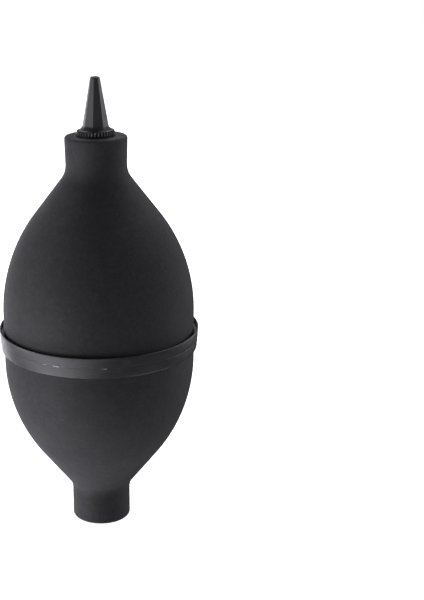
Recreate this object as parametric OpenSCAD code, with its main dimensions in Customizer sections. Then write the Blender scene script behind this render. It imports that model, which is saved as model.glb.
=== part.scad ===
// Dust blower with two rubber bulbs clamped together by a band at the waist.
// It stands on the end of its lower neck. +Z runs along its axis, and the origin
// is the centre of the face that it stands on. The nozzle points up.

/* [Bulbs] */
// Outer diameter of both bulbs where the band clamps them
bulb_d = 59.1; // [49:0.1:71]
// Thickness of the rubber wall
bulb_wall = 2; // [1.6:0.1:2.5]
// Slope of the straight flanks, measured from the axis
flank_angle = 37.5; // [33:0.5:43]
// Length of straight wall above the band, before the upper bulb starts to curve in
upper_straight_h = 5; // [3.5:0.1:12]
// Radius of the upper bulb's side, seen in section
upper_side_r = 50; // [41:1:60]
// Radius of the hollow curve between the upper bulb's flank and its neck
upper_fillet_r = 7.2; // [4:0.1:9]
// Length of straight wall below the band, before the lower bulb starts to curve in
lower_straight_h = 3.7; // [3.2:0.1:12]
// Radius of the lower bulb's side, seen in section
lower_side_r = 49; // [41:1:59]
// Radius of the hollow curve between the lower bulb's flank and its neck
lower_fillet_r = 6.5; // [4:0.1:9]

/* [Necks] */
// Diameter of the upper neck where it leaves the bulb
upper_neck_d = 18.6; // [17:0.1:22]
// Diameter of the upper neck at its top
upper_neck_top_d = 19; // [17:0.1:23]
// Length of the upper neck
upper_neck_h = 8.7; // [7.5:0.1:14]
// Thickness of the lip that covers the bush at the top of the upper neck
neck_lip_h = 1.8; // [1.2:0.1:2.4]
// Diameter of the lower neck, which is also the foot
lower_neck_d = 18.4; // [17:0.1:22]
// Length of the lower neck
lower_neck_h = 9.2; // [8:0.1:14]
// Rounding of the outer edge at the end of each neck
neck_edge_r = 0.8; // [0.4:0.1:1.2]

/* [Clamp band] */
// Distance that the band's top edge stands out from the bulbs
band_proud = 1.45; // [1.3:0.05:2]
// Distance that the band draws in from its top edge to its middle
band_taper_top = 0.2; // [0:0.05:0.25]
// Distance that the band draws in from its middle to its bottom edge
band_taper_foot = 0.3; // [0:0.05:0.4]
// Height of each of the band's two rings
clamp_ring_h = 3.2; // [3:0.1:5]
// Thickness of the free lip round the upper bulb
band_lip_wall = 0.6; // [0.4:0.05:0.65]
// Depth of the groove between that lip and the upper bulb
band_groove_h = 1.5; // [0.8:0.1:1.6]
// Width of the flange round each bulb's rim
rim_flange_w = 0.6; // [0.4:0.05:0.7]
// Thickness of that flange
rim_flange_h = 0.6; // [0.4:0.05:0.8]
// Chamfer on each ring beside the parting line
parting_chamfer = 0.12; // [0.05:0.01:0.25]

/* [Support ring] */
// Height of the ring inside the two rims
support_ring_h = 12; // [8:0.5:12]
// Thickness of that ring
support_ring_wall = 1.5; // [1.2:0.1:2.5]
// Thickness of its rib, which the two rims are clamped against
support_rib_h = 0.8; // [0.6:0.1:1]

/* [Nozzle] */
// Height of the eight-sided taper
taper_h = 14.6; // [10:0.1:40]
// Width of the taper across its corners at the bottom
taper_base_d = 8; // [6:0.1:9]
// Width of the taper across its corners at the tip
taper_tip_d = 2.9; // [2.2:0.1:4]
// Turn of the flats about the axis
taper_clock = -11; // [-22:1:22]
// Rounding at the tip
tip_round_r = 0.45; // [0.2:0.05:0.6]
// Height of the flare between the taper and the collar
flare_h = 1.25; // [0.8:0.05:2.5]
// Diameter of the flare where it meets the collar
flare_d = 9.7; // [9.3:0.1:10]
// Diameter of the finger collar over its teeth
collar_d = 11.6; // [11:0.1:14]
// Height of the finger collar
collar_h = 1.4; // [1:0.1:4]
// Number of teeth round the collar
collar_teeth = 36; // [24:1:48]
// Depth of the collar's teeth
collar_tooth_h = 0.4; // [0.2:0.05:0.6]
// Turn of the collar's teeth about the axis
collar_clock = 4.3; // [-5:0.1:5]
// Diameter of the air hole in the lower half of the nozzle
nozzle_bore_d = 3; // [2:0.1:3.4]
// Diameter of the air hole at the tip
outlet_bore_d = 1.2; // [0.8:0.1:1.8]
// Height, above the collar, at which the wide air hole narrows
nozzle_bore_h = 6; // [3:0.5:8]
// Diameter of the screwed spigot
spigot_d = 6.8; // [5.6:0.1:8.2]
// Length of the screwed spigot below the collar
spigot_h = 5.5; // [5:0.1:7]

/* [Bush and washer] */
// Thickness of the sealing washer under the collar
washer_h = 0.4; // [0.3:0.1:1]
// Diameter of the bush's boss, which shows inside the neck's lip
boss_d = 9.9; // [9.4:0.1:10.4]
// Distance that the bush reaches below the neck
bush_overhang = 1.2; // [0:0.1:3]
// Diameter of the air hole below the spigot
bush_bore_d = 4; // [3:0.1:5]

/* [Inlet valve] */
// Depth of the valve above the face that the blower stands on
valve_recess = 1; // [0.5:0.1:2]
// Diameter of the filter
filter_d = 10.4; // [8:0.1:11]
// Thickness of the filter
filter_h = 1.6; // [1:0.1:3]
// Thickness of the grille that holds the filter in
grille_h = 1.2; // [0.8:0.1:2]
// Width of the grille's rim
grille_rim_w = 1; // [0.6:0.1:1.5]
// Width of the grille's two bars
grille_bar_w = 1.1; // [0.6:0.1:1.5]
// Thickness of the web between the filter and the valve seat
web_h = 1.4; // [0.8:0.1:3]
// Diameter of the air hole through the web and the seat
inlet_d = 3.2; // [2.4:0.1:3.6]
// Thickness of the rubber seat
seat_h = 1.2; // [0.8:0.1:2]
// Diameter of the valve ball
ball_d = 5; // [4.2:0.1:6]
// Play of the ball in its chamber, on each side
ball_play = 0.5; // [0.35:0.05:0.8]
// Distance that the ball can lift off its seat
ball_lift = 1.2; // [0.8:0.1:1.6]
// Diameter of the cage's post, which stops the ball
post_d = 1.6; // [1.2:0.1:1.8]
// Length of that post
post_h = 1.85; // [1.5:0.05:2.5]
// Thickness of the cage's plate
cage_h = 1.2; // [0.8:0.1:2]
// Width of the ledge that the cage sits on
cage_ledge = 1.2; // [0.8:0.1:1.4]
// Number of air holes in the cage
cage_holes = 6; // [4:1:6]
// Diameter of those air holes
cage_hole_d = 1.1; // [0.8:0.1:1.2]

/* [Valve spring] */
// Diameter of the spring wire
wire_d = 0.3; // [0.2:0.05:0.35]
// Mean diameter of the spring's coil
coil_d = 2.8; // [2.6:0.1:3.2]
// Number of turns in the spring
coil_turns = 4; // [3:0.5:5]

/* [Fits] */
// Gap on each side where a hard piece sits in rubber or in another hard piece
fit_gap = 0.05; // [0.02:0.01:0.1]
// Gap left between the ball and whatever it closes on or stops against
touch_gap = 0.03; // [0.02:0.01:0.1]

/* [Hidden] */
$fn = 72;

RUBBER = [0.15, 0.15, 0.16];
BAND_PLASTIC = [0.24, 0.24, 0.25];
BLACK_PLASTIC = [0.1, 0.1, 0.11];
INSERT_PLASTIC = [0.2, 0.2, 0.2];
SEAL_RUBBER = [0.07, 0.07, 0.07];
FOAM = [0.28, 0.28, 0.3];
STEEL = [0.7, 0.7, 0.72];

side_steps = 14;
fillet_steps = 7;
edge_steps = 4;
coil_sides = 8;
coil_steps_per_turn = 16;
bore_overrun = 1;
taper_sides = 8;
taper_sink = 0.3;
flare_ledge = 0.1;
tip_ledge = 0.03;

bulb_r = bulb_d / 2;
upper_neck_r = upper_neck_d / 2;
upper_neck_top_r = upper_neck_top_d / 2;
lower_neck_r = lower_neck_d / 2;

// The heights, from the face that the blower stands on
lower_side_h = side_height(bulb_r, lower_side_r, lower_fillet_r, lower_neck_r);
upper_side_h = side_height(bulb_r, upper_side_r, upper_fillet_r, upper_neck_r);
band_foot_z = lower_neck_h + lower_side_h + lower_straight_h;
parting_z = band_foot_z + clamp_ring_h;
band_top_z = parting_z + clamp_ring_h;
upper_crown_z = band_top_z + upper_straight_h;
neck_foot_z = upper_crown_z + upper_side_h;
neck_top_z = neck_foot_z + upper_neck_h;
collar_z = neck_top_z + washer_h;

// The band and what it clamps
band_top_r = bulb_r + band_proud;
parting_r = band_top_r - band_taper_top;
band_foot_r = parting_r - band_taper_foot;
flange_r = bulb_r + rim_flange_w;
rib_half = support_rib_h / 2;
flange_top = rib_half + rim_flange_h;

// The valve, from the bottom up
filter_r = filter_d / 2;
grille_z = valve_recess;
filter_z = grille_z + grille_h;
web_z = filter_z + filter_h;
seat_z = web_z + web_h;
seat_top_z = seat_z + seat_h;
ball_r = ball_d / 2;
inlet_r = inlet_d / 2;
chamber_r = ball_r + ball_play;
cage_r = chamber_r + cage_ledge;
ball_z = seat_top_z + sqrt(pow(ball_r + touch_gap, 2) - pow(inlet_r, 2));
post_z = ball_z + ball_lift + ball_r + touch_gap;
cage_z = post_z + post_h;
valve_top_z = cage_z + cage_h;
valve_r = lower_neck_r - bulb_wall - fit_gap;
cage_hole_ring_r = (post_d / 2 + chamber_r) / 2;

// A bulb's side runs in a big arc, a straight flank and a hollow fillet, tangent to each other
function flank_length(r, side_r, fillet_r, neck_r) =
    (r - side_r - neck_r - fillet_r + (side_r + fillet_r) * cos(flank_angle)) / sin(flank_angle);
function side_height(r, side_r, fillet_r, neck_r) =
    (side_r + fillet_r) * sin(flank_angle)
    + flank_length(r, side_r, fillet_r, neck_r) * cos(flank_angle);

// Points [radius, height] of a bulb's side, from its widest place to its neck, set in by inset
function side_points(r, side_r, fillet_r, neck_r, inset = 0) =
    let (h = side_height(r, side_r, fillet_r, neck_r))
    concat(
        [for (i = [0:side_steps])
            let (a = flank_angle * i / side_steps)
            [r - side_r + (side_r - inset) * cos(a), (side_r - inset) * sin(a)]],
        [for (i = [0:fillet_steps])
            let (a = flank_angle * (1 - i / fillet_steps))
            [neck_r + fillet_r - (fillet_r + inset) * cos(a), h - (fillet_r + inset) * sin(a)]]
    );

// Points of a rounded outer edge at radius r and height z, from the side to the end face
function edge_points(r, z, round_r) =
    [for (i = [0:edge_steps])
        let (a = 90 * i / edge_steps)
        [r - round_r + round_r * cos(a), z - round_r + round_r * sin(a)]];

// The same points moved up the axis, or turned upside down below a height
function raised(points, z) = [for (p = points) [p[0], p[1] + z]];
function hung(points, z) = [for (p = points) [p[0], z - p[1]]];
function reversed(points) = [for (i = [len(points) - 1:-1:0]) points[i]];

module ring(outer_r, inner_r, z, h) {
    translate([0, 0, z])
    difference() {
        cylinder(r = outer_r, h = h);
        translate([0, 0, -bore_overrun])
        cylinder(r = inner_r, h = h + 2 * bore_overrun);
    }
}

// Upper bulb, its rim down against the support ring's rib
module upper_bulb() {
    outer = side_points(bulb_r, upper_side_r, upper_fillet_r, upper_neck_r);
    inner = side_points(bulb_r, upper_side_r, upper_fillet_r, upper_neck_r, bulb_wall);
    color(RUBBER)
    rotate_extrude()
    polygon(concat(
        [[bulb_r - bulb_wall, parting_z + rib_half], [flange_r, parting_z + rib_half],
         [flange_r, parting_z + flange_top], [bulb_r, parting_z + flange_top]],
        raised(outer, upper_crown_z),
        edge_points(upper_neck_top_r, neck_top_z, neck_edge_r),
        [[boss_d / 2 + fit_gap, neck_top_z], [boss_d / 2 + fit_gap, neck_top_z - neck_lip_h],
         [upper_neck_r - bulb_wall, neck_top_z - neck_lip_h]],
        raised(reversed(inner), upper_crown_z)
    ));
}

// Lower bulb, open at the foot, its rim up against the support ring's rib
module lower_bulb() {
    outer = side_points(bulb_r, lower_side_r, lower_fillet_r, lower_neck_r);
    inner = side_points(bulb_r, lower_side_r, lower_fillet_r, lower_neck_r, bulb_wall);
    crown_z = band_foot_z - lower_straight_h;
    color(RUBBER)
    rotate_extrude()
    polygon(concat(
        [[bulb_r - bulb_wall, parting_z - rib_half], [flange_r, parting_z - rib_half],
         [flange_r, parting_z - flange_top], [bulb_r, parting_z - flange_top]],
        hung(outer, crown_z),
        hung(edge_points(lower_neck_r, 0, neck_edge_r), 0),
        [[lower_neck_r - bulb_wall, 0]],
        hung(reversed(inner), crown_z)
    ));
}

// Upper half of the band: a shoulder over the rim's flange and a free lip round the bulb
module upper_clamp_ring() {
    lip_edge = band_lip_wall / 2;
    color(BAND_PLASTIC)
    rotate_extrude()
    polygon([
        [flange_r + fit_gap, parting_z],
        [parting_r - parting_chamfer, parting_z],
        [parting_r, parting_z + parting_chamfer],
        [band_top_r, band_top_z - lip_edge],
        [band_top_r - lip_edge, band_top_z],
        [band_top_r - band_lip_wall, band_top_z],
        [band_top_r - band_lip_wall, band_top_z - band_groove_h],
        [bulb_r + fit_gap, band_top_z - band_groove_h],
        [bulb_r + fit_gap, parting_z + flange_top],
        [flange_r + fit_gap, parting_z + flange_top]
    ]);
}

// Lower half of the band, closed in against the lower bulb
module lower_clamp_ring() {
    foot_edge = band_taper_foot;
    color(BAND_PLASTIC)
    rotate_extrude()
    polygon([
        [flange_r + fit_gap, parting_z],
        [flange_r + fit_gap, parting_z - flange_top],
        [bulb_r + fit_gap, parting_z - flange_top],
        [bulb_r + fit_gap, band_foot_z],
        [band_foot_r - foot_edge, band_foot_z],
        [band_foot_r, band_foot_z + foot_edge],
        [parting_r, parting_z - parting_chamfer],
        [parting_r - parting_chamfer, parting_z]
    ]);
}

// Stiff sleeve inside both rims, with the rib that they are clamped against
module support_ring() {
    outer_r = bulb_r - bulb_wall - fit_gap;
    color(INSERT_PLASTIC)
    difference() {
        union() {
            translate([0, 0, parting_z - support_ring_h / 2])
            cylinder(r = outer_r, h = support_ring_h);
            translate([0, 0, parting_z - rib_half])
            cylinder(r = flange_r, h = support_rib_h);
        }
        translate([0, 0, parting_z - support_ring_h / 2 - bore_overrun])
        cylinder(r = outer_r - support_ring_wall, h = support_ring_h + 2 * bore_overrun);
    }
}

// Bush bonded into the upper neck, which the nozzle screws into
module neck_bush() {
    foot_z = neck_foot_z - bush_overhang;
    socket_z = collar_z - spigot_h - fit_gap;
    color(INSERT_PLASTIC)
    difference() {
        union() {
            translate([0, 0, foot_z])
            cylinder(r = upper_neck_r - bulb_wall - fit_gap, h = neck_top_z - neck_lip_h - foot_z);
            translate([0, 0, foot_z])
            cylinder(d = boss_d, h = neck_top_z - foot_z);
        }
        translate([0, 0, socket_z])
        cylinder(r = spigot_d / 2 + fit_gap, h = neck_top_z - socket_z + bore_overrun);
        translate([0, 0, foot_z - bore_overrun])
        cylinder(d = bush_bore_d, h = socket_z - foot_z + 2 * bore_overrun);
    }
}

// Sealing washer between the collar and the bush
module nozzle_washer() {
    color(SEAL_RUBBER)
    ring(boss_d / 2, spigot_d / 2 + fit_gap, neck_top_z, washer_h);
}

// Toothed outline of the finger collar, four points to a tooth
function collar_outline() =
    [for (i = [0:collar_teeth - 1], corner = [0:3])
        let (
            pitch = 360 / collar_teeth,
            angle = pitch * (i + [0, 0.18, 0.5, 0.68][corner]),
            r = collar_d / 2 - ((corner == 0 || corner == 3) ? collar_tooth_h : 0)
        )
        r * [cos(angle), sin(angle)]];

// Nozzle: eight-sided taper, flare, finger collar and spigot in one moulding
module nozzle() {
    flare_z = collar_z + collar_h;
    taper_z = flare_z + flare_h;
    tip_z = taper_z + taper_h;
    narrow_z = flare_z + nozzle_bore_h;
    color(BLACK_PLASTIC)
    difference() {
        union() {
            translate([0, 0, taper_z - taper_sink])
            rotate([0, 0, taper_clock])
            cylinder(d1 = taper_base_d, d2 = taper_tip_d,
                     h = taper_sink + taper_h - tip_round_r / 2, $fn = taper_sides);
            translate([0, 0, tip_z - tip_round_r])
            cylinder(r1 = taper_tip_d / 2 * cos(180 / taper_sides) - tip_ledge,
                     r2 = taper_tip_d / 2 - tip_round_r, h = tip_round_r);
            translate([0, 0, flare_z])
            cylinder(d1 = flare_d, d2 = taper_base_d + 2 * flare_ledge, h = flare_h);
            translate([0, 0, collar_z])
            rotate([0, 0, collar_clock])
            linear_extrude(height = collar_h)
            polygon(collar_outline());
            translate([0, 0, collar_z - spigot_h])
            cylinder(d = spigot_d, h = spigot_h);
        }
        translate([0, 0, collar_z - spigot_h - bore_overrun])
        cylinder(d = nozzle_bore_d, h = narrow_z - collar_z + spigot_h + bore_overrun);
        translate([0, 0, narrow_z - bore_overrun])
        cylinder(d = outlet_bore_d, h = tip_z - narrow_z + 2 * bore_overrun);
    }
}

// Plug bonded into the lower neck: filter pocket, web, seat pocket, ball chamber and cage pocket
module valve_body() {
    color(INSERT_PLASTIC)
    difference() {
        translate([0, 0, grille_z])
        cylinder(r = valve_r, h = valve_top_z - grille_z);
        translate([0, 0, grille_z - bore_overrun])
        cylinder(r = filter_r + fit_gap, h = web_z - grille_z + bore_overrun);
        translate([0, 0, grille_z - bore_overrun])
        cylinder(r = inlet_r, h = seat_z - grille_z + 2 * bore_overrun);
        translate([0, 0, seat_z])
        cylinder(r = chamber_r, h = valve_top_z - seat_z + bore_overrun);
        translate([0, 0, cage_z])
        cylinder(r = cage_r + fit_gap, h = cage_h + bore_overrun);
    }
}

// Grille that snaps in below the filter: a rim and two crossed bars
module filter_grille() {
    color(BLACK_PLASTIC)
    union() {
        ring(filter_r, filter_r - grille_rim_w, grille_z, grille_h);
        for (turn = [0, 90])
            rotate([0, 0, turn])
            translate([-filter_r + grille_rim_w / 2, -grille_bar_w / 2, grille_z])
            cube([filter_d - grille_rim_w, grille_bar_w, grille_h]);
    }
}

module filter_disc() {
    color(FOAM)
    translate([0, 0, filter_z])
    cylinder(r = filter_r, h = filter_h);
}

// Rubber ring whose upper edge the ball closes on
module valve_seat() {
    color(SEAL_RUBBER)
    ring(chamber_r - fit_gap, inlet_r, seat_z, seat_h);
}

module valve_ball() {
    color(STEEL)
    translate([0, 0, ball_z])
    sphere(r = ball_r);
}

// Plate with air holes over the ball chamber, and the post that stops the ball
module valve_cage() {
    color(INSERT_PLASTIC)
    difference() {
        union() {
            translate([0, 0, cage_z])
            cylinder(r = cage_r, h = cage_h);
            translate([0, 0, post_z])
            cylinder(d = post_d, h = post_h + cage_h / 2);
        }
        for (i = [0:cage_holes - 1])
            rotate([0, 0, 360 * i / cage_holes])
            translate([cage_hole_ring_r, 0, cage_z - bore_overrun])
            cylinder(d = cage_hole_d, h = cage_h + 2 * bore_overrun);
    }
}

// Coil spring between the ball and the cage's plate, swept along its helix
module valve_spring() {
    rest_on_ball_z = ball_z + sqrt(pow(ball_r + wire_d / 2 + touch_gap, 2) - pow(coil_d / 2, 2));
    hang_z = cage_z - wire_d / 2 - touch_gap;
    steps = coil_turns * coil_steps_per_turn;
    points = [for (i = [0:steps], side = [0:coil_sides - 1])
        let (
            turn = 360 * i / coil_steps_per_turn,
            a = 360 * side / coil_sides,
            r = coil_d / 2 + wire_d / 2 * cos(a),
            z = rest_on_ball_z + (hang_z - rest_on_ball_z) * i / steps + wire_d / 2 * sin(a)
        )
        [r * cos(turn), r * sin(turn), z]];
    walls = [for (i = [0:steps - 1], side = [0:coil_sides - 1])
        let (
            near = i * coil_sides,
            far = near + coil_sides,
            next = (side + 1) % coil_sides
        )
        [near + side, near + next, far + next, far + side]];
    first_end = [for (side = [coil_sides - 1:-1:0]) side];
    last_end = [for (side = [0:coil_sides - 1]) steps * coil_sides + side];
    color(STEEL)
    polyhedron(points, concat([first_end], walls, [last_end]));
}

lower_bulb();
valve_body();
filter_grille();
filter_disc();
valve_seat();
valve_ball();
valve_spring();
valve_cage();
lower_clamp_ring();
support_ring();
upper_clamp_ring();
upper_bulb();
neck_bush();
nozzle_washer();
nozzle();
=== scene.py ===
"""Dust blower bulb: rubber, band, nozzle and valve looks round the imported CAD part.

Everything is built in millimetres and turned into metres when a mesh is made.
"""

import math

import bpy
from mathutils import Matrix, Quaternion, Vector


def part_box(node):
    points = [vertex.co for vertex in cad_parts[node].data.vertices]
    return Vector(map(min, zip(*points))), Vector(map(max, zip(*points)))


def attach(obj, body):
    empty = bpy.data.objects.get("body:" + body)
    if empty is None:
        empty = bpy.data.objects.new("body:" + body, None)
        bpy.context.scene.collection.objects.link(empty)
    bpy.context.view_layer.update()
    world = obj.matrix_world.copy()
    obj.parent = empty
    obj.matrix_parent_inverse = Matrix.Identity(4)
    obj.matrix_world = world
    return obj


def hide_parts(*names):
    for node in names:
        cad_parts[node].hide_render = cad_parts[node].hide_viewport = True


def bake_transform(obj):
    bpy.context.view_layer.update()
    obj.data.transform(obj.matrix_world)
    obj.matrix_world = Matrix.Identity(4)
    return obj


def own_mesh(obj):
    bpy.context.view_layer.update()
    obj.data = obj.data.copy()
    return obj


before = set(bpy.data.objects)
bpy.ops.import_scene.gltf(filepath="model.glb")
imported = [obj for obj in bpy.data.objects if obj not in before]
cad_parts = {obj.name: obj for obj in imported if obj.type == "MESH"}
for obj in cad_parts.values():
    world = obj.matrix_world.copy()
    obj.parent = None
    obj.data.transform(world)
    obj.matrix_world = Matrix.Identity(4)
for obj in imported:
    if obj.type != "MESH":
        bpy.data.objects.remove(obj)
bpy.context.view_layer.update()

MM = 0.001
TAU = 2 * math.pi


# ---------------------------------------------------------------- the CAD part's heights, in mm
def box_mm(node):
    low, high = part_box(node)
    return low / MM, high / MM


band_foot_z = box_mm("lower_clamp_ring")[0].z
parting_z = box_mm("upper_clamp_ring")[0].z
band_top_z = box_mm("upper_clamp_ring")[1].z
band_top_r = box_mm("upper_clamp_ring")[1].x
parting_r = box_mm("lower_clamp_ring")[1].x
neck_top_z = box_mm("upper_bulb")[1].z
collar_z = box_mm("nozzle_washer")[1].z
spigot_foot_z = box_mm("nozzle")[0].z
tip_z = box_mm("nozzle")[1].z
flange_r = box_mm("upper_bulb")[1].x
boss_r = box_mm("nozzle_washer")[1].x
filter_low, filter_high = box_mm("filter_disc")
seat_low, seat_high = box_mm("valve_seat")

BULB_R = 29.55
WALL = 2.0
FLANK = math.radians(37.5)
UPPER = {"side_r": 50.0, "fillet_r": 7.2, "neck_r": 9.3, "straight": 5.0}
LOWER = {"side_r": 49.0, "fillet_r": 6.5, "neck_r": 9.2, "straight": 3.7}
RIB_HALF = 0.4
FLANGE_TOP = 1.0
NECK_TOP_R = 9.5
NECK_EDGE = 0.8
LIP_H = 1.8
LIP_WALL = 0.6
GROOVE_H = 1.5
PARTING_GAP = 0.005
PARTING_ROUND = 0.045
FIT = 0.05


# ---------------------------------------------------------------- mesh helpers
def make_mesh(name, points, faces, sharp=40):
    """A smooth-shaded mesh object from points in mm."""
    data = bpy.data.meshes.new(name)
    data.from_pydata([(x * MM, y * MM, z * MM) for x, y, z in points], [], faces)
    data.validate()
    data.update()
    obj = bpy.data.objects.new(name, data)
    bpy.context.scene.collection.objects.link(obj)
    data.shade_smooth()
    data.set_sharp_from_angle(angle=math.radians(sharp))
    return obj


def loft(name, rings, sharp=40):
    """Joins rings of equal point counts, the last one back to the first."""
    count = len(rings[0])
    points = [p for ring in rings for p in ring]
    faces = []
    for k in range(len(rings)):
        here, there = k * count, (k + 1) % len(rings) * count
        for i in range(count):
            j = (i + 1) % count
            faces.append((here + i, here + j, there + j, there + i))
    return make_mesh(name, points, faces, sharp)


def lathe(name, profile, segments, offset=None, sharp=40):
    """Turns a closed loop of (radius, height) about the axis. offset(angle, r, z) moves a point outward."""
    rings = []
    for r, z in profile:
        ring = []
        for i in range(segments):
            a = TAU * i / segments
            rr = r + (offset(a, r, z) if offset else 0)
            ring.append((rr * math.cos(a), rr * math.sin(a), z))
        rings.append(ring)
    return loft(name, rings, sharp)


def line(a, b, steps):
    """Points from a up to, but not including, b."""
    return [(a[0] + (b[0] - a[0]) * i / steps, a[1] + (b[1] - a[1]) * i / steps) for i in range(steps)]


def rounded(corners, steps=5):
    """A closed outline of (r, z, rounding) corners, each one rounded by its own radius."""
    out = []
    count = len(corners)
    for i, (r, z, rounding) in enumerate(corners):
        here = Vector((r, z))
        back = Vector(corners[i - 1][:2]) - here
        ahead = Vector(corners[(i + 1) % count][:2]) - here
        if rounding <= 0:
            out.append((r, z))
            continue
        half = back.angle(ahead) / 2
        cut = min(rounding / math.tan(half), 0.48 * back.length, 0.48 * ahead.length)
        start, end = here + back.normalized() * cut, here + ahead.normalized() * cut
        for s in range(steps + 1):
            t = s / steps
            p = start * (1 - t) ** 2 + here * 2 * t * (1 - t) + end * t * t
            out.append((p.x, p.y))
    return out


def bulb_side(shape, inset):
    """(radius, height) from the bulb's widest place to its neck: big arc, straight flank, hollow fillet."""
    side_r, fillet_r, neck_r = shape["side_r"], shape["fillet_r"], shape["neck_r"]
    flank = (BULB_R - side_r - neck_r - fillet_r + (side_r + fillet_r) * math.cos(FLANK)) / math.sin(FLANK)
    height = (side_r + fillet_r) * math.sin(FLANK) + flank * math.cos(FLANK)
    arc = []
    for i in range(41):
        a = FLANK * i / 40
        arc.append((BULB_R - side_r + (side_r - inset) * math.cos(a), (side_r - inset) * math.sin(a)))
    hollow = []
    for i in range(15):
        a = FLANK * (1 - i / 14)
        hollow.append(
            (
                neck_r + fillet_r - (fillet_r + inset) * math.cos(a),
                height - (fillet_r + inset) * math.sin(a),
            )
        )
    return arc[:-1] + line(arc[-1], hollow[0], 10) + hollow, height


def edge(r, z, rounding, steps=8):
    """A rounded outer edge, from the side wall to the end face."""
    return [
        (
            r - rounding + rounding * math.cos(math.pi / 2 * i / steps),
            z - rounding + rounding * math.sin(math.pi / 2 * i / steps),
        )
        for i in range(steps + 1)
    ]


# ---------------------------------------------------------------- node helpers
class Nodes:
    """Builds one material's node tree, with short names for the nodes that are used here."""

    def __init__(self, name, color, roughness, metallic=0.0, specular=0.5):
        self.material = bpy.data.materials.new(name)
        self.material.use_nodes = True
        self.tree = self.material.node_tree
        self.shader = self.tree.nodes["Principled BSDF"]
        self.shader.inputs["Base Color"].default_value = (*color, 1)
        self.shader.inputs["Roughness"].default_value = roughness
        self.shader.inputs["Metallic"].default_value = metallic
        self.shader.inputs["Specular IOR Level"].default_value = specular
        self.place = self.tree.nodes.new("ShaderNodeTexCoord").outputs["Object"]

    def new(self, kind, inputs=(), **settings):
        node = self.tree.nodes.new(kind)
        for key, value in settings.items():
            setattr(node, key, value)
        for key, value in dict(inputs).items():
            self.join(value, node.inputs[key])
        return node

    def join(self, value, socket):
        if isinstance(value, bpy.types.NodeSocket):
            self.tree.links.new(value, socket)
        else:
            socket.default_value = value

    def noise(self, size_mm, detail=2.0, rough=0.5, at=None):
        """Noise whose features measure about size_mm."""
        node = self.new(
            "ShaderNodeTexNoise",
            {"Vector": at or self.place, "Scale": 1 / (size_mm * MM), "Detail": detail, "Roughness": rough},
        )
        return node.outputs["Fac"]

    def span(self, value, low, high, to_low=0.0, to_high=1.0):
        """Maps low..high of value to to_low..to_high, and clamps."""
        node = self.new(
            "ShaderNodeMapRange",
            {"Value": value, "From Min": low, "From Max": high, "To Min": to_low, "To Max": to_high},
        )
        return node.outputs["Result"]

    def math(self, operation, a, b=0.0):
        return self.new("ShaderNodeMath", {0: a, 1: b}, operation=operation).outputs[0]

    def mix(self, factor, a, b):
        node = self.new("ShaderNodeMix", data_type="RGBA")
        self.join(factor, node.inputs[0])
        self.join(a if isinstance(a, bpy.types.NodeSocket) else (*a, 1), node.inputs[6])
        self.join(b if isinstance(b, bpy.types.NodeSocket) else (*b, 1), node.inputs[7])
        return node.outputs[2]

    def bump(self, height, depth_mm, strength=1.0, under=None):
        inputs = {"Height": height, "Distance": depth_mm * MM, "Strength": strength}
        if under is not None:
            inputs["Normal"] = under
        return self.new("ShaderNodeBump", inputs).outputs["Normal"]

    def radius(self):
        """Distance from the axis, in metres."""
        flat = self.new("ShaderNodeVectorMath", {0: self.place, 1: (1, 1, 0)}, operation="MULTIPLY")
        return self.new("ShaderNodeVectorMath", {0: flat.outputs[0]}, operation="LENGTH").outputs["Value"]

    def round_axis(self, around_mm, up_mm):
        """Places stretched round the axis: a feature is around_mm long and up_mm high."""
        parts = self.new("ShaderNodeSeparateXYZ", {0: self.place}).outputs
        turn = self.math("ARCTAN2", parts["Y"], parts["X"])
        arc = self.math("MULTIPLY", self.math("SINE", turn), 30 / around_mm)
        arc2 = self.math("MULTIPLY", self.math("COSINE", turn), 30 / around_mm)
        height = self.math("MULTIPLY", parts["Z"], 1 / (up_mm * MM))
        return self.new("ShaderNodeCombineXYZ", {0: arc, 1: arc2, 2: height}).outputs[0]

    def finish(self, color=None, roughness=None, normal=None):
        for value, key in ((color, "Base Color"), (roughness, "Roughness"), (normal, "Normal")):
            if value is not None:
                self.join(value, self.shader.inputs[key])
        return self.material


def rubber_material():
    n = Nodes("bulb_rubber", (0.03, 0.03, 0.032), 0.85, specular=0.3)
    cloud = n.noise(16, 3)
    blotch = n.noise(3.4, 2, 0.55)
    mottle = n.noise(1.3, 2, 0.6)
    grain = n.noise(0.42, 2, 0.6)
    pores = n.noise(0.2, 1, 0.5)
    dust = n.noise(0.9, 1, 0.4)
    color = n.mix(n.span(cloud, 0.3, 0.7), (0.0232, 0.0231, 0.0247), (0.0292, 0.0289, 0.0312))
    color = n.mix(n.span(blotch, 0.35, 0.68, 0, 0.4), color, (0.0385, 0.0382, 0.0405))
    color = n.mix(n.span(mottle, 0.4, 0.7, 0, 0.4), color, (0.0165, 0.0166, 0.0176))
    color = n.mix(n.span(grain, 0.58, 0.76, 0, 0.45), color, (0.066, 0.066, 0.069))
    color = n.mix(n.span(dust, 0.79, 0.83, 0, 0.25), color, (0.14, 0.14, 0.14))
    roughness = n.span(cloud, 0.3, 0.7, 0.76, 0.9)
    normal = n.bump(n.math("ADD", grain, n.math("MULTIPLY", pores, 0.6)), 0.06, 0.8)
    normal = n.bump(mottle, 0.05, 0.5, under=normal)
    normal = n.bump(cloud, 0.25, 0.25, under=normal)
    return n.finish(color, roughness, normal)


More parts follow.
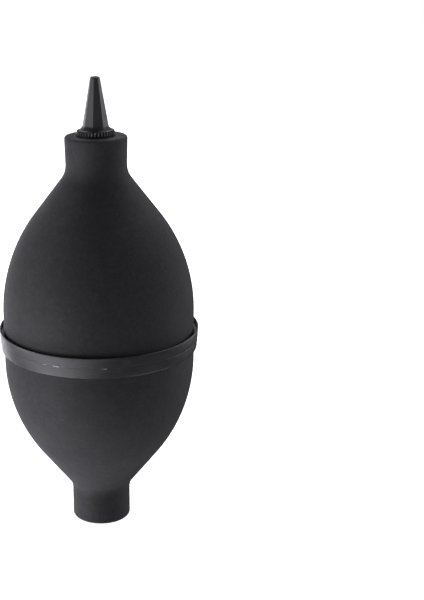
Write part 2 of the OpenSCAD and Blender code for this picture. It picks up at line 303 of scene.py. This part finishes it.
def band_material():
    n = Nodes("band_plastic", (0.03, 0.03, 0.032), 0.42, specular=0.5)
    streak_place = n.round_axis(5.5, 0.11)
    streak = n.new(
        "ShaderNodeTexNoise",
        {"Vector": streak_place, "Scale": 1.0, "Detail": 3.0, "Roughness": 0.6},
    ).outputs["Fac"]
    scuff = n.noise(1.6, 3, 0.6)
    grain = n.noise(0.3, 1, 0.5)
    color = n.mix(n.span(streak, 0.35, 0.7), (0.021, 0.021, 0.023), (0.034, 0.034, 0.036))
    color = n.mix(n.span(scuff, 0.6, 0.75, 0, 0.4), color, (0.06, 0.06, 0.062))
    roughness = n.math("ADD", n.span(streak, 0.3, 0.7, 0.33, 0.45), n.span(scuff, 0.4, 0.7, 0, 0.1))
    normal = n.bump(streak, 0.02, 0.6)
    normal = n.bump(grain, 0.012, 0.5, under=normal)
    return n.finish(color, roughness, normal)


def nozzle_material():
    n = Nodes("nozzle_plastic", (0.025, 0.025, 0.026), 0.5, specular=0.5)
    grain = n.noise(0.35, 2, 0.6)
    wear = n.noise(1.2, 3, 0.6)
    color = n.mix(n.span(wear, 0.35, 0.7), (0.0195, 0.0195, 0.0205), (0.027, 0.027, 0.0282))
    color = n.mix(n.span(grain, 0.64, 0.78, 0, 0.4), color, (0.07, 0.07, 0.07))
    # The teeth crests, 5.5 to 5.78 mm from the axis, are painted far lighter. This is a painted highlight
    # along the serrations, made patchy by the wear noise.
    crest_highlight = n.span(n.radius(), 5.5 * MM, 5.78 * MM, 0, 0.8)
    color = n.mix(n.math("MULTIPLY", crest_highlight, n.span(wear, 0.25, 0.6, 0.75, 1)), color, (0.17, 0.17, 0.177))
    roughness = n.span(wear, 0.35, 0.7, 0.45, 0.6)
    normal = n.bump(grain, 0.02, 0.6)
    return n.finish(color, roughness, normal)


# Burr flash is coloured pale so that it shows as glints. This is a painted highlight whose grey is set by
# shade.
def burr_material(name, shade):
    n = Nodes(name, (shade, shade, shade), 0.5)
    patch = n.noise(0.3, 2, 0.6)
    color = n.mix(n.span(patch, 0.35, 0.65), (shade * 0.6,) * 3, (shade * 1.25,) * 3)
    return n.finish(color, n.span(patch, 0.3, 0.7, 0.35, 0.6), n.bump(patch, 0.02, 0.6))


def insert_material():
    n = Nodes("insert_plastic", (0.035, 0.035, 0.035), 0.5, specular=0.5)
    tool = n.new(
        "ShaderNodeTexNoise",
        {"Vector": n.round_axis(9, 0.2), "Scale": 1.0, "Detail": 2.0},
    ).outputs["Fac"]
    grain = n.noise(0.4, 2, 0.6)
    color = n.mix(n.span(grain, 0.35, 0.7), (0.028, 0.028, 0.028), (0.045, 0.045, 0.045))
    roughness = n.span(tool, 0.3, 0.7, 0.42, 0.6)
    return n.finish(color, roughness, n.bump(n.math("ADD", tool, grain), 0.02, 0.5))


def seal_material():
    n = Nodes("seal_rubber", (0.014, 0.014, 0.014), 0.7, specular=0.35)
    grain = n.noise(0.25, 2, 0.6)
    cloud = n.noise(2.0, 2, 0.5)
    color = n.mix(n.span(cloud, 0.35, 0.65), (0.010, 0.010, 0.010), (0.019, 0.019, 0.019))
    return n.finish(color, n.span(grain, 0.3, 0.7, 0.6, 0.8), n.bump(grain, 0.02, 0.6))


def foam_material():
    n = Nodes("filter_foam", (0.08, 0.08, 0.085), 0.95, specular=0.2)
    cells = n.new("ShaderNodeTexVoronoi", {"Vector": n.place, "Scale": 1 / (0.45 * MM)}).outputs["Distance"]
    fuzz = n.noise(0.2, 3, 0.7)
    # Darker towards the seams between foam cells, where the bump sinks: painted shade in the hollows.
    color = n.mix(n.span(cells, 0.1, 0.6), (0.11, 0.11, 0.115), (0.035, 0.035, 0.038))
    color = n.mix(n.span(fuzz, 0.55, 0.75, 0, 0.4), color, (0.16, 0.155, 0.15))
    return n.finish(color, 0.95, n.bump(n.math("SUBTRACT", fuzz, cells), 0.2, 0.8))


def steel_material():
    n = Nodes("valve_steel", (0.6, 0.6, 0.62), 0.22, metallic=1.0)
    haze = n.noise(1.1, 3, 0.6)
    scratch = n.noise(0.25, 2, 0.7)
    color = n.mix(n.span(haze, 0.35, 0.7), (0.52, 0.52, 0.54), (0.66, 0.66, 0.67))
    return n.finish(color, n.span(scratch, 0.3, 0.7, 0.14, 0.32), n.bump(scratch, 0.006, 0.4))


RUBBER = rubber_material()
BAND = band_material()
NOZZLE = nozzle_material()
INSERT = insert_material()
SEAL = seal_material()
FOAM = foam_material()
STEEL = steel_material()
# Pale burr colours: painted glints on the parting line, one bright and one faint.
BURR_PAINTED_GLINT = burr_material("burr_painted_glint", 0.62)
BURR_FAINT_PAINTED_GLINT = burr_material("burr_faint_painted_glint", 0.10)


# ---------------------------------------------------------------- the two bulbs
def rubber_wobble(phase):
    """The slight unevenness of a moulded bulb, in mm."""

    def offset(a, r, z):
        soft = min(1.0, max(0.0, (r - 10) / 12))
        return soft * (
            0.06 * math.sin(2 * a + phase)
            + 0.035 * math.sin(3 * a + z / 11 + phase)
            + 0.02 * math.sin(5 * a - z / 7 + 2 * phase)
        )

    return offset


def upper_bulb():
    crown_z = band_top_z + UPPER["straight"]
    outer, _ = bulb_side(UPPER, 0)
    inner, _ = bulb_side(UPPER, WALL)
    rim_z = parting_z + RIB_HALF
    flange_z = parting_z + FLANGE_TOP
    neck_r = UPPER["neck_r"]
    profile = [(BULB_R - WALL, rim_z), (flange_r, rim_z), (flange_r, flange_z)]
    profile += line((BULB_R, flange_z), (BULB_R, crown_z), 9)
    profile += [(r, z + crown_z) for r, z in outer]
    profile += line((outer[-1][0], outer[-1][1] + crown_z + 0.4), (NECK_TOP_R, neck_top_z - NECK_EDGE), 9)
    profile += edge(NECK_TOP_R, neck_top_z, NECK_EDGE)
    profile += [(boss_r + 0.35, neck_top_z), (boss_r + 0.12, neck_top_z - 0.06)]
    profile += [(boss_r + FIT, neck_top_z - 0.2)]
    profile += [(boss_r + FIT, neck_top_z - LIP_H), (neck_r - WALL, neck_top_z - LIP_H)]
    profile += [(r, z + crown_z) for r, z in reversed(inner)]
    profile += line((BULB_R - WALL, crown_z - 0.5), (BULB_R - WALL, rim_z + 1), 8)
    obj = lathe("upper_bulb_skin", profile, 224, rubber_wobble(0.6), sharp=50)
    obj.data.materials.append(RUBBER)
    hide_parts("upper_bulb")
    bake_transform(obj)
    return obj


def lower_bulb():
    crown_z = band_foot_z - LOWER["straight"]
    outer, _ = bulb_side(LOWER, 0)
    inner, _ = bulb_side(LOWER, WALL)
    rim_z = parting_z - RIB_HALF
    flange_z = parting_z - FLANGE_TOP
    neck_r = LOWER["neck_r"]
    profile = [(BULB_R - WALL, rim_z), (flange_r, rim_z), (flange_r, flange_z)]
    profile += line((BULB_R, flange_z), (BULB_R, crown_z), 9)
    profile += [(r, crown_z - z) for r, z in outer]
    profile += line((outer[-1][0], crown_z - outer[-1][1] - 0.4), (neck_r, NECK_EDGE), 9)
    profile += [(r, -z) for r, z in edge(neck_r, 0, NECK_EDGE)]
    profile += [(neck_r - WALL + 0.3, 0), (neck_r - WALL + 0.08, 0.08), (neck_r - WALL, 0.3)]
    profile += [(r, crown_z - z) for r, z in reversed(inner)]
    profile += line((BULB_R - WALL, crown_z + 0.5), (BULB_R - WALL, rim_z - 1), 6)
    obj = lathe("lower_bulb_skin", profile[::-1], 224, rubber_wobble(2.1), sharp=50)
    obj.data.materials.append(RUBBER)
    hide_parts("lower_bulb")
    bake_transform(obj)
    return obj


# ---------------------------------------------------------------- the band
def band_wobble(phase):
    """Slightly uneven edges, as a moulded ring has."""

    def offset(a, r, z):
        return (
            0.02 * math.sin(3 * a + phase)
            + 0.012 * math.sin(11 * a + phase)
            + 0.006 * math.sin(37 * a + z)
        )

    return offset


def upper_ring():
    inner_r, flange_in = BULB_R + FIT, flange_r + FIT
    corners = [
        (flange_in, parting_z + PARTING_GAP, 0),
        (parting_r, parting_z + PARTING_GAP, PARTING_ROUND),
        (band_top_r, band_top_z, 0.28),
        (band_top_r - LIP_WALL, band_top_z, 0.2),
        (band_top_r - LIP_WALL, band_top_z - GROOVE_H, 0.1),
        (inner_r, band_top_z - GROOVE_H, 0.1),
        (inner_r, parting_z + FLANGE_TOP, 0),
        (flange_in, parting_z + FLANGE_TOP, 0),
    ]
    obj = lathe("upper_clamp_ring_skin", rounded(corners), 288, band_wobble(0.4), sharp=50)
    obj.data.materials.append(BAND)
    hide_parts("upper_clamp_ring")
    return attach(obj, "band")


def lower_ring():
    inner_r, flange_in = BULB_R + FIT, flange_r + FIT
    foot_r = parting_r - 0.3
    corners = [
        (flange_in, parting_z - PARTING_GAP, 0),
        (flange_in, parting_z - FLANGE_TOP, 0),
        (inner_r, parting_z - FLANGE_TOP, 0),
        (inner_r, band_foot_z, 0.15),
        (foot_r, band_foot_z, 0.28),
        (parting_r - 0.012, parting_z - PARTING_GAP, PARTING_ROUND),
    ]
    obj = lathe("lower_clamp_ring_skin", rounded(corners), 288, band_wobble(1.9), sharp=50)
    obj.data.materials.append(BAND)
    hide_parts("lower_clamp_ring")
    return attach(obj, "band")


# Burrs left on the parting line: azimuth from the front in degrees, length, height and depth in mm,
# and 0 for a bright painted glint or 1 for a faint painted glint
BURRS = [
    (-31.6, 1.2, 0.15, 0.10, 0),
    (-29.2, 0.8, 0.10, 0.06, 1),
    (-24.2, 2.7, 0.2, 0.14, 0),
    (-20.6, 1.6, 0.10, 0.07, 1),
    (3.0, 2.2, 0.13, 0.08, 0),
    (9.5, 3.6, 0.07, 0.03, 1),
    (47.0, 9.5, 0.10, 0.05, 1),
    (64.0, 8.0, 0.10, 0.05, 1),
    (128.0, 3.0, 0.14, 0.08, 1),
    (171.0, 2.2, 0.15, 0.09, 0),
    (-142.0, 4.0, 0.12, 0.07, 1),
]


def parting_burrs():
    """Thin slivers of flash that stand out from the parting line, coloured pale as painted glints."""
    points, faces, slots = [], [], []
    across, along = 8, 24
    for front, length, height, depth, slot in BURRS:
        middle = math.radians(front - 90)
        span = length / parting_r
        base = len(points)
        for i in range(along + 1):
            t = i / along
            a = middle + span * (t - 0.5)
            swell = math.sin(math.pi * t) ** 0.7 * (1 + 0.25 * math.sin(9 * t + front)) + 0.02
            for k in range(across):
                b = TAU * k / across
                r = parting_r - 0.05 + (0.5 * depth + 0.05) * swell * math.cos(b)
                z = parting_z + 0.5 * height * swell * math.sin(b) + 0.02 * math.sin(5 * t + front)
                points.append((r * math.cos(a), r * math.sin(a), z))
        for i in range(along):
            for k in range(across):
                m = (k + 1) % across
                here, there = base + i * across, base + (i + 1) * across
                faces.append((here + k, there + k, there + m, here + m))
                slots.append(slot)
        faces.append(tuple(base + k for k in range(across)))
        faces.append(tuple(base + along * across + k for k in reversed(range(across))))
        slots += [slot, slot]
    obj = make_mesh("parting_flash", points, faces, sharp=60)
    # The burrs' pale colours are painted glints, bright on some burrs and faint on the rest.
    obj.data.materials.append(BURR_PAINTED_GLINT)
    obj.data.materials.append(BURR_FAINT_PAINTED_GLINT)
    obj.data.polygons.foreach_set("material_index", slots)
    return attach(obj, "band")


# ---------------------------------------------------------------- the nozzle
AROUND = 288
SIDES = 8
TEETH = 36
CLOCK = math.radians(-101)
TOOTH_CLOCK = math.radians(-92.3)
THREAD_PITCH = 1.5


def polygon_radius(a, corner_r, rounding):
    """Polar radius of a regular polygon whose corners are rounded."""
    half = math.pi / SIDES
    side = corner_r * math.cos(half)
    rounding = min(rounding, side * 0.95)
    d = (a - CLOCK + half) % (2 * half) - half
    centre = (side - rounding) / math.cos(half)
    touch = math.atan((side - rounding) * math.tan(half) / side)
    from_corner = abs(d)
    if half - from_corner < touch:
        return side / math.cos(half - from_corner)
    return centre * math.cos(d) + math.sqrt(max(rounding**2 - (centre * math.sin(d)) ** 2, 0))


def tooth(a):
    """0 in a gap and 1 on a tooth's crest: V-shaped serrations."""
    t = ((a - TOOTH_CLOCK) / TAU * TEETH + 0.5) % 1 - 0.5
    return min(1.0, max(0.0, (0.46 - abs(t)) / 0.4))


def ring_points(z, radius):
    """One ring of the nozzle: radius is a number or a function of the angle."""
    out = []
    for i in range(AROUND):
        a = CLOCK + TAU * i / AROUND
        r = radius(a) if callable(radius) else radius
        out.append((r * math.cos(a), r * math.sin(a), z(a) if callable(z) else z))
    return out


def nozzle():
    bore_r, outlet_r, spigot_r = 1.5, 0.6, 3.4
    collar_top, flare_top = collar_z + 1.4, collar_z + 2.65
    base_r, tip_r, tip_round = 4.0, 1.46, 0.6
    end_z = tip_z - 0.2
    taper_len = end_z - flare_top
    rings = []

    def add(z, radius):
        rings.append(ring_points(z, radius))

    def corner_r(z):
        return base_r + (tip_r - base_r) * (z - flare_top) / taper_len

    def thread(z, fade):
        def radius(a):
            t = ((z / THREAD_PITCH - (a - CLOCK) / TAU) % 1 - 0.5) * 2
            groove = min(1.0, max(0.0, (0.75 - abs(t)) / 0.5))
            return spigot_r - 0.42 * groove * fade

        return radius

    # spigot, from its foot up
    add(spigot_foot_z, 2.5)
    add(spigot_foot_z, 2.75)
    add(spigot_foot_z + 0.05, 2.85)
    steps = 52
    top = collar_z - 0.45
    for i in range(steps + 1):
        z = spigot_foot_z + 0.35 + (top - spigot_foot_z - 0.35) * i / steps
        add(z, thread(z, min(1.0, i / 5, (steps - i) / 8)))
    add(collar_z - 0.25, spigot_r - 0.3)
    add(collar_z, spigot_r - 0.3)
    # collar: its underside, its teeth, which lean in towards the top, and its top face
    add(collar_z, 5.0)
    for z, crest, depth in (
        (0.0, 5.5, 0.2),
        (0.05, 5.74, 0.4),
        (0.15, 5.82, 0.5),
        (0.45, 5.81, 0.52),
        (0.8, 5.76, 0.52),
        (1.05, 5.69, 0.5),
        (1.2, 5.6, 0.42),
        (1.31, 5.46, 0.28),
        (1.38, 5.28, 0.1),
        (1.4, 5.16, 0.02),
    ):
        add(collar_z + z, lambda a, c=crest, d=depth: c - d * (1 - tooth(a)))
    add(collar_top + 0.01, 5.02)
    # flare: round at its foot, eight-sided at its top
    for i in range(1, 15):
        t = i / 15
        z = collar_top + (flare_top - collar_top) * t
        bow = (1 - t) ** 1.35
        foot_r = 4.92
        eight = t**0.8

        def radius(a, bow=bow, eight=eight):
            side = polygon_radius(a, base_r, 0.35)
            mixed = base_r * 0.965 * (1 - eight) + side * eight
            return mixed + (foot_r - base_r * 0.965) * bow

        add(z, radius)
    # taper
    for i in range(25):
        z = flare_top + (taper_len - tip_round) * i / 24
        add(z, lambda a, z=z: polygon_radius(a, corner_r(z), 0.24 + 0.1 * (z - flare_top) / taper_len))
    for i in range(1, 9):
        b = math.pi / 2 * i / 8
        z = end_z - tip_round + tip_round * math.sin(b)
        cut = tip_round * (1 - math.cos(b))
        add(z, lambda a, cut=cut: polygon_radius(a, corner_r(end_z - tip_round), 0.4) - cut)
    add(end_z, outlet_r + 0.1)
    add(end_z - 0.04, outlet_r + 0.03)
    add(end_z - 0.15, outlet_r)
    # the air hole, back down
    narrow_z = collar_top + 6
    add(narrow_z + 0.6, outlet_r)
    add(narrow_z, bore_r)
    add(spigot_foot_z + 0.25, bore_r)
    add(spigot_foot_z + 0.05, bore_r + 0.15)
    add(spigot_foot_z, bore_r + 0.3)
    obj = loft("nozzle_skin", rings, sharp=35)
    obj.data.materials.append(NOZZLE)
    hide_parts("nozzle")
    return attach(obj, "nozzle")


# ---------------------------------------------------------------- seals and filter
def seal(name, node, body, corners, material, uneven):
    """A soft ring with rounded, slightly uneven edges."""

    def offset(a, r, z):
        return uneven * (math.sin(3 * a + r) + 0.6 * math.sin(7 * a + 2 * z))

    obj = lathe(name, rounded(corners, 4), 120, offset, sharp=50)
    obj.data.materials.append(material)
    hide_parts(node)
    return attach(obj, body)


def washer():
    low, high = neck_top_z, collar_z
    corners = [
        (3.45, low, 0.08),
        (boss_r - 0.02, low, 0.16),
        (boss_r - 0.02, high, 0.16),
        (3.45, high, 0.08),
    ]
    return seal("nozzle_washer_skin", "nozzle_washer", "washer", corners, SEAL, 0.008)


def seat():
    outer, low, high = seat_high.x, seat_low.z, seat_high.z
    corners = [
        (1.6, low, 0.1),
        (outer - 0.01, low, 0.2),
        (outer - 0.01, high, 0.2),
        (1.75, high, 0.05),
        (1.6, high - 0.15, 0.05),
    ]
    return seal("valve_seat_skin", "valve_seat", "base", corners, SEAL, 0.004)


def filter_foam():
    """Foam disc with a bumpy open surface."""
    outer, low, high = filter_high.x - 0.05, filter_low.z + 0.02, filter_high.z - 0.02
    rings, around = [], 96
    radii = [0.25 * k for k in range(1, int(outer / 0.25))] + [outer - 0.12, outer]

    def pitted(a, r):
        x, y = r * math.cos(a), r * math.sin(a)
        return 0.05 * math.sin(11 * x + 3 * math.sin(7 * y)) * math.sin(12.7 * y + 2 * math.sin(9 * x))

    for side, level in ((1, low), (-1, high)):
        order = radii if side == 1 else radii[::-1]
        for r in order:
            ring = []
            for i in range(around):
                a = TAU * i / around
                z = level + side * (0.07 + pitted(a, r)) + side * (0.15 if r == outer else 0)
                ring.append((r * math.cos(a), r * math.sin(a), z))
            rings.append(ring)
    obj = loft("filter_disc_skin", rings, sharp=70)
    obj.data.materials.append(FOAM)
    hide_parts("filter_disc")
    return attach(obj, "base")


def spring():
    """Coil spring with closed ends."""
    low, high = box_mm("valve_spring")
    turns, sides, wire_r = 4, 12, 0.15
    coil_r = high.x - wire_r
    steps = turns * 40
    points, faces = [], []
    for i in range(steps + 1):
        t = i / steps
        a = TAU * turns * t
        rise = min(1.0, max(0.0, (t - 0.12) / 0.76))
        z = low.z + wire_r + (high.z - low.z - 2 * wire_r) * rise
        for k in range(sides):
            b = TAU * k / sides
            r = coil_r + wire_r * math.cos(b)
            points.append((r * math.cos(a), r * math.sin(a), z + wire_r * math.sin(b)))
    for i in range(steps):
        for k in range(sides):
            m = (k + 1) % sides
            faces.append((i * sides + k, i * sides + m, (i + 1) * sides + m, (i + 1) * sides + k))
    faces.append(tuple(reversed(range(sides))))
    faces.append(tuple(steps * sides + k for k in range(sides)))
    obj = make_mesh("valve_spring_skin", points, faces, sharp=60)
    obj.data.materials.append(STEEL)
    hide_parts("valve_spring")
    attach(obj, "base")
    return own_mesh(obj)


def paint(node, material):
    """Gives a CAD node its finish."""
    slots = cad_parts[node].data.materials
    slots.clear()
    slots.append(material)


upper_bulb()
lower_bulb()
upper_ring()
lower_ring()
parting_burrs()
nozzle()
washer()
seat()
filter_foam()
spring()
paint("valve_body", INSERT)
paint("valve_cage", INSERT)
paint("support_ring", INSERT)
paint("neck_bush", INSERT)
paint("filter_grille", NOZZLE)
paint("valve_ball", STEEL)


# ---------------------------------------------------------------- floor, light and camera
FLOOR_HALF = 3.0
FLOOR_GLOW = 1.0
WORLD_GLOW = 1.05
LIGHT_COLOR = (0.975, 0.972, 1.04)
PANEL_SIZE = 0.5
PANEL_DISTANCE = 0.9
PANEL_AIM = Vector((0, 0, 0.07))
LENS = 75.5
SENSOR_WIDTH = 36
SHIFT_X = 0.1893
PITCH = math.radians(17.68)
ROLL = math.radians(-0.92)
CAMERA_AWAY = 0.372
CAMERA_ABOVE_BAND = 0.1266
# azimuth, elevation and power of each panel, fitted to the photograph's brightness; the low ones
# shine up through the paper, as on a light table
PANELS = [
    (0, 0, 1.249),
    (-30, -28, 1.725),
    (-60, -28, 3.064),
    (-90, 0, 6.649),
    (-90, -60, 5.077),
    (-150, -28, 2.222),
    (-150, 0, 2.651),
    (180, 54, 6.222),
    (90, 28, 3.314),
    (90, -60, 2.144),
    (120, 0, 2.449),
]


def floor():
    """A glowing sheet of white paper, which neither shades the object nor shows in its reflections."""
    corners = [(FLOOR_HALF * x, FLOOR_HALF * y, 0) for x, y in ((-1, -1), (1, -1), (1, 1), (-1, 1))]
    data = bpy.data.meshes.new("floor")
    data.from_pydata(corners, [], [(0, 1, 2, 3)])
    obj = bpy.data.objects.new("floor", data)
    bpy.context.scene.collection.objects.link(obj)
    n = Nodes("floor_paper", (0.9, 0.9, 0.9), 0.9, specular=0.1)
    n.shader.inputs["Emission Color"].default_value = (1, 1, 1, 1)
    n.shader.inputs["Emission Strength"].default_value = FLOOR_GLOW
    obj.data.materials.append(n.finish(normal=n.bump(n.noise(1.5, 2), 0.05, 0.2)))
    obj.visible_diffuse = False
    obj.visible_glossy = False
    obj.visible_shadow = False


def panel(azimuth, elevation, power):
    """A soft square panel that faces the object. Azimuth 0 is the front and 90 is the right."""
    a, e = math.radians(azimuth), math.radians(elevation)
    out = Vector((math.sin(a) * math.cos(e), -math.cos(a) * math.cos(e), math.sin(e)))
    data = bpy.data.lights.new("panel", "AREA")
    data.shape = "SQUARE"
    data.size = PANEL_SIZE
    data.energy = power
    data.color = LIGHT_COLOR
    obj = bpy.data.objects.new(f"panel_{azimuth}_{elevation}", data)
    bpy.context.scene.collection.objects.link(obj)
    obj.location = PANEL_AIM + out * PANEL_DISTANCE
    obj.rotation_mode = "QUATERNION"
    obj.rotation_quaternion = (-out).to_track_quat("-Z", "Y")
    obj.visible_camera = False


def backdrop():
    """White all round for the camera, which gives no light of its own."""
    world = bpy.data.worlds.new("studio")
    bpy.context.scene.world = world
    world.use_nodes = True
    background = world.node_tree.nodes["Background"]
    background.inputs["Color"].default_value = (1, 1, 1, 1)
    background.inputs["Strength"].default_value = WORLD_GLOW
    world.cycles_visibility.diffuse = False
    world.cycles_visibility.glossy = False


def camera():
    """The camera at the photograph's viewing angle."""
    data = bpy.data.cameras.new("camera")
    data.lens = LENS
    data.sensor_width = SENSOR_WIDTH
    data.shift_x = SHIFT_X
    data.clip_start = 0.01
    obj = bpy.data.objects.new("camera", data)
    bpy.context.scene.collection.objects.link(obj)
    look = Vector((0, math.cos(PITCH), -math.sin(PITCH)))
    obj.location = (0, -CAMERA_AWAY, band_top_z * MM + CAMERA_ABOVE_BAND)
    obj.rotation_mode = "QUATERNION"
    obj.rotation_quaternion = look.to_track_quat("-Z", "Y") @ Quaternion((0, 0, 1), ROLL)
    bpy.context.scene.camera = obj


floor()
for azimuth, elevation, power in PANELS:
    panel(azimuth, elevation, power)
backdrop()
camera()
bpy.context.scene.view_settings.view_transform = "Standard"
